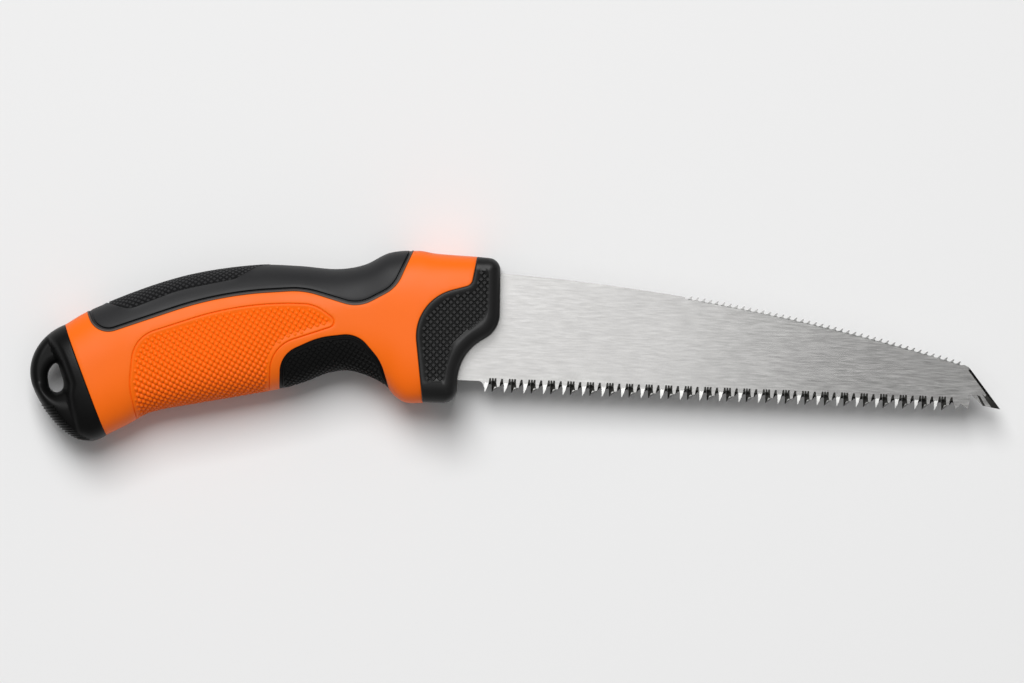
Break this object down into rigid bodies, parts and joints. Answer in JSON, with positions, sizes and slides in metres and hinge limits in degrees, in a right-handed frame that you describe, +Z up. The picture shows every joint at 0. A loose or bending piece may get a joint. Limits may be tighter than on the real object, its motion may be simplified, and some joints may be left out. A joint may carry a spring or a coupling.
{
  "type": "pruning saw",
  "caption": "Fixed-blade pruning saw: straight tapered blade with tall raker teeth below and fine teeth on the back, in an orange handle with knurled black grips and a hanging eye.",
  "frame": {"origin": "centre of the saw's box, on the ground plane under the flank it lies on", "axes": "+X along the tooth line towards the tip, +Y towards the spine, +Z up, square to the blade"},
  "size_m": [0.3234, 0.0678, 0.029],
  "materials": {
    "blade_steel": "brushed along the blade",
    "orange_body": "satin moulded",
    "palm_orange": "diamond knurled",
    "guard_rubber": "diamond knurled",
    "grip_rubber": "smooth and knurled",
    "finger_rubber": "knurled",
    "cap_black": "satin moulded",
    "fastener_steel": "zinc plated"
  },
  "bodies": {
    "root": {"blade": "blade_steel", "left_shell": "orange_body", "right_shell": "orange_body", "front_guard": "guard_rubber", "butt_cap": "cap_black", "back_grip": "grip_rubber", "palm_grip": "palm_orange", "finger_grip": "finger_rubber", "tang_screws": "fastener_steel", "tang_washers": "fastener_steel", "tang_nuts": "fastener_steel", "tang_sleeves": "fastener_steel", "grip_screws": "fastener_steel"}
  },
  "joints": []
}
